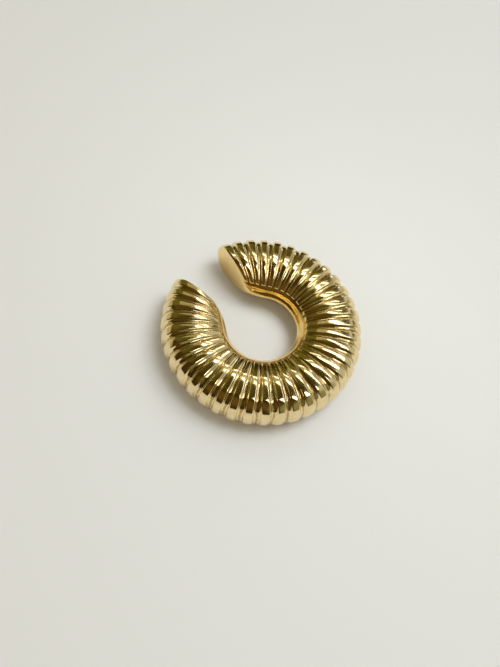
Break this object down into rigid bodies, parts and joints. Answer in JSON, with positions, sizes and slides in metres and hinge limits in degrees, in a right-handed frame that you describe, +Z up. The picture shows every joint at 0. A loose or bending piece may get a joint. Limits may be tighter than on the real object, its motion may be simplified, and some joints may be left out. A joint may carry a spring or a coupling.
{
  "type": "ear cuff",
  "caption": "Chunky C-shaped ear cuff with rounded ribs all round, a smooth bore for the rim of the ear and a smooth end face on each side of the gap.",
  "frame": {"origin": "middle of the cuff's footprint, on the surface that it lies on", "axes": "+Z up along the axis of the ring, with the cuff lying on its side; the gap faces -Y and the back of the ring is towards +Y"},
  "size_m": [0.024, 0.0234, 0.0052],
  "materials": {
    "polished_gold": "polished yellow gold plate over brass, with fine casting dimples and wiping scratches"
  },
  "bodies": {
    "root": {"ribbed_cuff": "polished_gold"}
  },
  "joints": []
}
